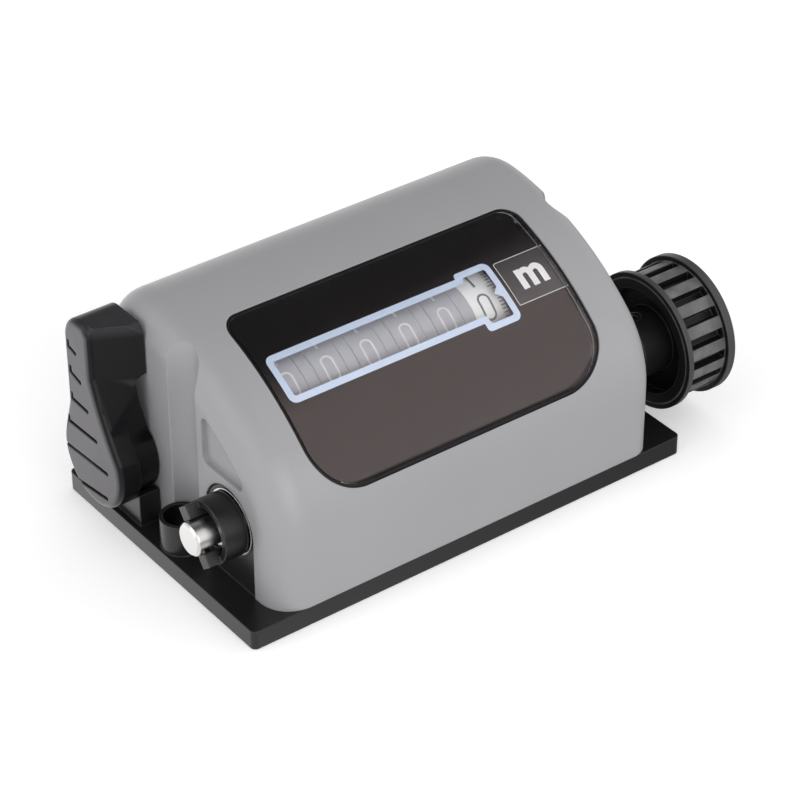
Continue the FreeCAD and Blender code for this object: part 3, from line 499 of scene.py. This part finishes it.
for order in range(1, 7):
    cell = row_left + wheel_pitch * (6 - order)
    wide = units_wide if order == 1 else rim_wide
    lean = units_lean if order == 1 else wheel_lean
    body = "wheel_" + str(order)
    middle = Vector(((cell + rim_start + wide / 2) * mm, axle_y, axle_z))
    band = make_band(wide - 0.1)
    band.location = middle
    settle(band, "band_" + str(order), body, wheel_white if order == 1 else wheel_silver)
    pick(figures)
    bpy.ops.object.duplicate()
    row = bpy.context.object
    row.location = middle + Vector((-0.4 * mm if order == 1 else 0, 0, 0))
    row.rotation_euler = (math.radians(lean), 0, 0)
    settle(row, "figures_" + str(order), body, ink_grey if order == 1 else ink_white)
    if order == 1:
        graduation.location = middle
        graduation.rotation_euler = (math.radians(lean), 0, 0)
        settle(graduation, "graduation", body, ink_grey)
for piece in (former, figures):
    pick(piece)
    bpy.ops.object.delete()

# Comb: thin silver tongues that close the gaps between the wheels behind the
# window. Each is a curved strip whose ends are bent out and stuck to the mask.
tongue_r = 12.20
tongue_wide = 2.7
tongue_thick = 0.15
tongue_ends = ((-6, 2.8), (66, 3.8))   # degrees forward of the top, and length of the bent end
(behind, _), (ahead_to, _) = tongue_ends
for order in range(1, 6):
    middle = row_left + wheel_pitch * (6 - order)
    bpy.ops.mesh.primitive_cylinder_add(vertices=120, radius=tongue_r * mm, depth=tongue_wide * mm,
                                        end_fill_type="NOTHING", rotation=(0, math.pi / 2, 0))
    tongue = bpy.context.object
    bpy.ops.object.transform_apply(location=False, rotation=True, scale=False)
    bpy.ops.object.mode_set(mode="EDIT")
    choose(tongue, "FACE", lambda at: not behind < math.degrees(math.atan2(-at.y, at.z)) < ahead_to)
    bpy.ops.mesh.delete(type="FACE")
    for lean, reach in tongue_ends:
        ahead = Vector((0, -math.sin(math.radians(lean)), math.cos(math.radians(lean))))
        choose(tongue, "EDGE", lambda at: (at - ahead * tongue_r * mm).length < 0.1 * mm)
        bpy.ops.mesh.extrude_region_move(TRANSFORM_OT_translate={"value": ahead * reach * mm})
    bpy.ops.object.mode_set(mode="OBJECT")
    use(tongue, "SOLIDIFY", {"thickness": tongue_thick * mm, "offset": 0})
    tongue.location = (middle * mm, axle_y, axle_z)
    settle(tongue, "comb_tongue_" + str(order), "chassis", wheel_silver)

# Mask: a black plastic sheet within the cover's ledge, bent to the same curve as
# the lens just above it, with one stepped opening in which the wheels show.
mask_skin = finish("mask_black", (0.012, 0.0105, 0.011), (0.016, 0.014, 0.0145), (0.02, 0.02, 0.02),
                   0.5, specular=0.1, pits=0.02)
dress(mask_skin, "display_mask")

# Prints on the inner face of the lens: the light outline with its pointer, the
# unit mark in its thin frame, and black behind them all, silk-screened in turn.
lens_black = finish("lens_black",
                    (0.012, 0.0105, 0.011), (0.016, 0.014, 0.0145), (0.02, 0.02, 0.02),
                    0.5, specular=0.1, pits=0.02)
panel_grey = finish("panel_grey", (0.046, 0.046, 0.049), (0.055, 0.055, 0.058), (0.04, 0.04, 0.04),
                    0.5, specular=0.1, pits=0.02)
print_blue = finish("print_blue", (0.60, 0.69, 0.87), (0.66, 0.75, 0.92), (0.7, 0.8, 0.95),
                    0.5, specular=0.1, pits=0.02)
print_white = finish("print_white", (0.86, 0.86, 0.88), (0.92, 0.92, 0.93), (0.95, 0.95, 0.95),
                     0.5, specular=0.1, pits=0.02)
slope = math.radians(42)
slope_out = Vector((0, -math.sin(slope), math.cos(slope)))
window_mid = Vector((0, -15.05 * mm, 37.9 * mm))
below = 7 * mm         # a print starts this far under the window and is cast up on to it
print_cuts = 1.25      # a print bends at every such step up the slope
ink_sink = 0.003       # how far the light inks, the panel and the backing lie under the lens
panel_sink = 0.007
backing_sink = 0.011


def print_on_lens(piece, name, material, sink):
    """Lay a flat print up against the lens from below, sink millimetres under its face."""
    slices(piece, 1, [i * print_cuts for i in range(-15, 16)])
    piece.rotation_euler = (slope, 0, 0)
    piece.location = window_mid - slope_out * below
    use(piece, "SHRINKWRAP", {"target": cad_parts["lens"], "wrap_method": "PROJECT",
                              "use_project_z": True, "use_positive_direction": True,
                              "use_negative_direction": False})
    piece.location -= slope_out * sink * mm
    settle(piece, name, "chassis", material)


def stepped(inside, ends, near, hollow):
    """The edge of the stepped outline, so far inside, with its three kinds of corner rounded."""
    left, step, right = line_left + inside, line_step + inside, line_right - inside
    low, high = line_low + inside, line_high - inside
    units_low, units_high = line_units_low + inside, line_units_high - inside
    close = 0.1 * mm

    def beside(at):
        return step * mm + close < at.x < right * mm - close

    def on_step(at):
        return abs(at.x - step * mm) < close / 2

    piece = flat(left, step, low, high)
    bpy.ops.object.mode_set(mode="EDIT")
    choose(piece, "EDGE", lambda at: at.x > step * mm - close)
    bpy.ops.mesh.extrude_region_move(TRANSFORM_OT_translate={"value": ((right - step) * mm, 0, 0)})
    choose(piece, "EDGE", lambda at: beside(at) and at.y > high * mm - close)
    rise = (units_high - high) * mm
    bpy.ops.mesh.extrude_region_move(TRANSFORM_OT_translate={"value": (0, rise, 0)})
    choose(piece, "EDGE", lambda at: beside(at) and abs(at.y - low * mm) < close)
    fall = (units_low - low) * mm
    bpy.ops.mesh.extrude_region_move(TRANSFORM_OT_translate={"value": (0, fall, 0)})
    bpy.ops.mesh.select_all(action="SELECT")
    bpy.ops.mesh.dissolve_limited(angle_limit=0.02)
    bpy.ops.object.mode_set(mode="OBJECT")
    rounded(piece, ends, lambda at: at.x < left * mm + close or at.x > right * mm - close)
    rounded(piece, near, lambda at: on_step(at) and (at.y > units_high * mm - close
                                                     or at.y < units_low * mm + close))
    rounded(piece, hollow, lambda at: on_step(at)
            and low * mm - close / 2 < at.y < high * mm + close / 2)
    bpy.ops.object.mode_set(mode="EDIT")
    bpy.ops.mesh.select_all(action="SELECT")
    bpy.ops.mesh.delete(type="ONLY_FACE")
    bpy.ops.object.mode_set(mode="OBJECT")
    return piece


line = 1.4             # width of the outline
line_left, line_step, line_right = -33.1, 13.1, 21.5
line_low, line_high = -1.05, 9.55
line_units_low, line_units_high = -3.0, 10.65
pointer_up = 3.83
pointer_long = 1.4
outer = stepped(0, 1.6, 0.85, 0.2)
inner = stepped(line, 0.45, 0.45, 0.5)
# The pointer is drawn out of the outline's inner edge on the right.
bpy.ops.object.mode_set(mode="EDIT")
choose(inner, "EDGE", lambda at: at.x > (line_right - line - 0.01) * mm and 0 < at.y < 7 * mm)
bpy.ops.mesh.subdivide(number_cuts=7)
choose(inner, "VERT", lambda at: at.x > (line_right - line - 0.05) * mm
       and abs(at.y - pointer_up * mm) < 0.4 * mm)
bpy.ops.transform.translate(value=(-pointer_long * mm, 0, 0))
bpy.ops.object.mode_set(mode="OBJECT")
outline = merge([outer, inner])
bpy.ops.object.mode_set(mode="EDIT")
bpy.ops.mesh.select_mode(type="EDGE")
bpy.ops.mesh.select_all(action="SELECT")
bpy.ops.mesh.fill()
bpy.ops.object.mode_set(mode="OBJECT")
print_on_lens(outline, "outline_print", print_blue, ink_sink)

panel_left, panel_right = 22.35, 33.9
panel_low, panel_high = -0.45, 9.55
thin = flat(panel_left, panel_right + 2.1, panel_low, panel_high)
rounded(thin, 0.6, lambda at: at.x < 23 * mm and at.y > 9 * mm)
bpy.ops.object.mode_set(mode="EDIT")
bpy.ops.mesh.select_all(action="SELECT")
bpy.ops.mesh.inset(thickness=0.12 * mm)
bpy.ops.mesh.delete(type="FACE")
bpy.ops.mesh.select_all(action="SELECT")
bpy.ops.mesh.bisect(plane_co=(panel_right * mm, 0, 0), plane_no=(1, 0, 0), clear_outer=True)
bpy.ops.object.mode_set(mode="OBJECT")
print_on_lens(thin, "panel_line_print", print_white, ink_sink)
panel = flat(panel_left, panel_right, panel_low, panel_high)
print_on_lens(panel, "panel_print", panel_grey, panel_sink)
# The unit mark is generic: an m for metre, in the built-in letter form.
unit = letter("m", 0.035, 6.6, 4.55)
unit.location = (28.7 * mm, 4.45 * mm, 0)
bpy.ops.object.transform_apply(location=True, rotation=False, scale=False)
print_on_lens(unit, "unit_print", print_white, ink_sink)

# The backing fills the lens's own outline and ends under the middle of the line.
backing_mid = -0.7
backing_wide = 34.7    # to either side of its middle
backing_tall = 19.6    # up and down the slope from the window's middle
backing_top_r = 3.1
backing_low_r = 10.0
half = line / 2
backing = flat(backing_mid - backing_wide, backing_mid + backing_wide, -backing_tall, backing_tall)
rounded(backing, backing_top_r, lambda at: at.y > 0, 8)
rounded(backing, backing_low_r, lambda at: at.y < -19.5 * mm, 14)
open_x = (line_left + half, line_step + half, line_right - half)
open_y = (line_units_low + half, line_low + half, line_high - half, line_units_high - half)
slices(backing, 0, open_x)
slices(backing, 1, open_y)
bpy.ops.object.mode_set(mode="EDIT")
choose(backing, "FACE", lambda at:
       (open_x[0] < at.x / mm < open_x[1] and open_y[1] < at.y / mm < open_y[2])
       or (open_x[1] < at.x / mm < open_x[2] and open_y[0] < at.y / mm < open_y[3]))
bpy.ops.mesh.delete(type="FACE")
bpy.ops.object.mode_set(mode="OBJECT")
print_on_lens(backing, "backing_print", lens_black, backing_sink)

# Seal: a thin ring of black rubber, cut to the window's outline and pressed
# between the lens and the cover.
seal_skin = finish("seal_rubber", (0.006, 0.006, 0.007), (0.010, 0.010, 0.011), (0.02, 0.02, 0.02),
                   0.5, specular=0.3)
dress(seal_skin, "lens_seal")

# Cover: one moulding in grey plastic with a satin face, two flutes and the arches
# for the shafts. Four screws from below hold it by bosses on its walls.
cover_skin = finish("cover_grey", (0.325, 0.323, 0.335), (0.352, 0.350, 0.362), (0.45, 0.45, 0.46),
                    0.42)
dress(cover_skin, "cover")

# Lens: a clear plastic sheet, curved like the cover's display face and pressed
# into the seal. Lamp light passes straight through it to the wheels.
clear = bpy.data.materials.new("clear_lens")
clear.use_nodes = True
tree = clear.node_tree
glass = tree.nodes["Principled BSDF"]
glass.inputs["Base Color"].default_value = (0.985, 0.98, 0.98, 1)
glass.inputs["Specular Tint"].default_value = (1.0, 0.80, 0.78, 1)
glass.inputs["Roughness"].default_value = 0.03
glass.inputs["IOR"].default_value = 1.5
glass.inputs["Transmission Weight"].default_value = 1.0
through = wire(tree, "BsdfTransparent", {}, {"Color": (0.97, 0.965, 0.965, 1)})
path = wire(tree, "LightPath")
either = wire(tree, "MixShader", {},
              {0: path.outputs["Is Shadow Ray"], 1: glass.outputs[0], 2: through.outputs[0]})
tree.links.new(either.outputs[0], tree.nodes["Material Output"].inputs["Surface"])
dress(clear, "lens")

# Coupling sleeve: black plastic with a cup and two square prongs at its outer end,
# moulded in one and pushed on the left shaft end.
dress(black_satin, "coupling_sleeve")

# Toothed pulley: black, its grooves cut between two flanges, with a grub screw in
# the hub. The belt has rubbed the lands grey, and the flange rims get a painted reflection.
low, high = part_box("drive_pulley")
hub_at = ((low[0] + high[0]) / 2, (low[1] + high[1]) / 2, (low[2] + high[2]) / 2)
pulley_skin = finish("pulley_black",
                     (0.006, 0.006, 0.007), (0.010, 0.010, 0.011), (0.12, 0.12, 0.125),
                     0.40, specular=0.25)
tree = pulley_skin.node_tree
at = wire(tree, "TexCoord").outputs["Object"]
aside = wire(tree, "VectorMath", {"operation": "SUBTRACT"}, {0: at, 1: hub_at})
across = wire(tree, "VectorMath", {"operation": "MULTIPLY"}, {0: aside.outputs[0], 1: (0, 1, 1)})
away = wire(tree, "VectorMath", {"operation": "LENGTH"}, {0: across.outputs[0]})
# Distances from the shaft at which the belt's rub begins and ends, and where the painted rim
# reflection fades in.
land_from = (13.70 * mm, 13.85 * mm)
land_to = (14.15 * mm, 14.0 * mm)
rim_sheen_span = (14.9 * mm, 15.05 * mm)
past = wire(tree, "MapRange", {}, {"Value": away.outputs["Value"],
                                   "From Min": land_from[0], "From Max": land_from[1]})
short = wire(tree, "MapRange", {}, {"Value": away.outputs["Value"],
                                    "From Min": land_to[0], "From Max": land_to[1]})
patchy = wire(tree, "TexNoise", {}, {"Vector": at, "Scale": 260.0, "Detail": 4.0})
belt = wire(tree, "Math", {"operation": "MULTIPLY"}, {0: past.outputs[0], 1: short.outputs[0]})
belt = wire(tree, "Math", {"operation": "MULTIPLY"}, {0: belt.outputs[0], 1: patchy.outputs["Fac"]})
skin = tree.nodes["Principled BSDF"]
plain = skin.inputs["Base Color"].links[0].from_socket
worn = wire(tree, "Mix", {"data_type": "RGBA"},
            {0: belt.outputs[0], 6: plain, 7: (0.25, 0.245, 0.25, 1)})
# Painted reflection: the flange rims are coloured paler, as if they mirrored a pale room.
painted_rim_sheen = wire(tree, "MapRange", {}, {"Value": away.outputs["Value"], "From Min": rim_sheen_span[0],
                                         "From Max": rim_sheen_span[1], "To Max": 0.8})
rim_sheen_mix = wire(tree, "Mix", {"data_type": "RGBA"},
              {0: painted_rim_sheen.outputs[0], 6: worn.outputs[2], 7: (0.075, 0.073, 0.075, 1)})
tree.links.new(rim_sheen_mix.outputs[2], skin.inputs["Base Color"])
dress(pulley_skin, "drive_pulley", "pulley_grub_screw")

# Reset lever: one black moulding pinned to its shaft, with six finger grooves
# moulded into its outer face. The grooves run in from the rounded back edge.
lever_skin = finish("lever_black",
                    (0.006, 0.006, 0.007), (0.009, 0.009, 0.010), (0.05, 0.05, 0.052),
                    0.30, specular=0.16)
tree = lever_skin.node_tree
# Painted sheen: the outer face is coloured light grey in patches, standing in for the bright floor
# it mirrors.
at = wire(tree, "TexCoord").outputs["Object"]
outward = wire(tree, "SeparateXYZ", {}, {0: at})
painted_sheen_mask = wire(tree, "MapRange", {}, {"Value": outward.outputs["X"],
                                      "From Min": -57.1 * mm, "From Max": -57.45 * mm})
sheen_patches = wire(tree, "TexNoise", {}, {"Vector": at, "Scale": 180.0, "Detail": 5.0})
sheen_patches = wire(tree, "MapRange", {}, {"Value": sheen_patches.outputs["Fac"], "To Min": 0.7, "To Max": 1.0})
# Painted highlight: the top of the crown is coloured lighter, where the light falls on it.
painted_crown_highlight = wire(tree, "MapRange", {}, {"Value": outward.outputs["Z"], "From Min": 46.2 * mm,
                                    "From Max": 48.2 * mm, "To Max": 0.22})
painted_sheen_mask = wire(tree, "Math", {"operation": "MAXIMUM"}, {0: painted_sheen_mask.outputs[0], 1: painted_crown_highlight.outputs[0]})
painted_sheen_mask = wire(tree, "Math", {"operation": "MULTIPLY"},
               {0: painted_sheen_mask.outputs[0], 1: sheen_patches.outputs[0]})
skin = tree.nodes["Principled BSDF"]
plain = skin.inputs["Base Color"].links[0].from_socket
sheen_painted_colour = wire(tree, "Mix", {"data_type": "RGBA"},
              {0: painted_sheen_mask.outputs[0], 6: plain, 7: (0.135, 0.128, 0.138, 1)})
tree.links.new(sheen_painted_colour.outputs[2], skin.inputs["Base Color"])
face_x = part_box("reset_lever")[0][0]
groove_deep = 0.65
groove_wide = 0.95
hook_high = 1.1
# Each groove by its back end and its near end, as (y, z). All but the lowest have
# a short hook upwards at the back end.
grooves = (((22.2, 42.0), (19.7, 41.4)), ((22.0, 36.1), (18.6, 35.2)), ((22.2, 29.7), (16.7, 29.4)),
           ((24.1, 23.3), (14.1, 23.7)), ((26.9, 16.7), (10.8, 17.8)), ((23.2, 9.7), (11.5, 11.4)))
cutters = []
hooks = tuple(((y - 0.1, z + hook_high), (y - 0.1, z)) for (y, z), _ in grooves[:5])
for (back_y, back_z), (near_y, near_z) in grooves + hooks:
    long = math.hypot(back_y - near_y, back_z - near_z)
    bpy.ops.mesh.primitive_cube_add(size=mm)
    cutter = bpy.context.object
    cutter.scale = (2 * groove_deep, long + 1.0, groove_wide)
    bpy.ops.object.transform_apply(location=False, rotation=False, scale=True)
    bpy.ops.object.mode_set(mode="EDIT")
    choose(cutter, "EDGE", lambda at: abs(at.x) < 0.1 * mm)
    bpy.ops.mesh.bevel(offset=0.46 * mm, segments=5)
    bpy.ops.object.mode_set(mode="OBJECT")
    cutter.rotation_euler = (math.atan2(back_z - near_z, back_y - near_y), 0, 0)
    cutter.location = (face_x, (back_y + near_y) / 2 * mm, (back_z + near_z) / 2 * mm)
    bpy.ops.object.transform_apply(location=True, rotation=True, scale=False)
    cutters.append(cutter)
cutter = merge(cutters)
pick(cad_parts["reset_lever"])
bpy.ops.object.duplicate()
lever = bpy.context.object
bpy.ops.object.mode_set(mode="EDIT")
bpy.ops.mesh.select_all(action="SELECT")
bpy.ops.mesh.remove_doubles(threshold=0.001 * mm)
bpy.ops.mesh.dissolve_limited(angle_limit=math.radians(0.4))
bpy.ops.object.mode_set(mode="OBJECT")
use(lever, "BOOLEAN", {"object": cutter, "operation": "DIFFERENCE", "solver": "EXACT",
                       "use_self": True})
pick(cutter)
bpy.ops.object.delete()
pick(lever)
bpy.ops.object.mode_set(mode="EDIT")
bpy.ops.mesh.select_all(action="SELECT")
bpy.ops.mesh.dissolve_limited(angle_limit=math.radians(0.4))
bpy.ops.object.mode_set(mode="OBJECT")
settle(lever, "grooved_lever", "reset", lever_skin, 30)
use(lever, "WEIGHTED_NORMAL", {"mode": "FACE_AREA", "weight": 100, "keep_sharp": True})
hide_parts("reset_lever")

# Reset spring: round steel wire with bright zinc, wound in three turns and slipped
# on the reset shaft beside the left frame.
low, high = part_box("reset_spring")
turns = 3
wire_r = 0.35 * mm
coil_r = (high[1] - low[1]) / 2 - wire_r
bpy.ops.mesh.primitive_circle_add(vertices=12, radius=wire_r, location=(0, coil_r, 0))
spring = bpy.context.object
bpy.ops.object.transform_apply(location=True, rotation=False, scale=False)
use(spring, "SCREW", {"axis": "X", "steps": 40, "render_steps": 40, "iterations": turns,
                      "screw_offset": (high[0] - low[0] - 2 * wire_r) / turns,
                      "use_merge_vertices": False})
bpy.ops.object.mode_set(mode="EDIT")
bpy.ops.mesh.select_mode(type="EDGE")
bpy.ops.mesh.select_all(action="DESELECT")
bpy.ops.mesh.select_non_manifold()
bpy.ops.mesh.fill_holes(sides=0)
bpy.ops.mesh.select_all(action="SELECT")
bpy.ops.mesh.normals_make_consistent(inside=False)
bpy.ops.object.mode_set(mode="OBJECT")
spring.location = (low[0] + wire_r, (low[1] + high[1]) / 2, (low[2] + high[2]) / 2)
settle(spring, "spring_coil", "chassis", zinc)
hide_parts("reset_spring")
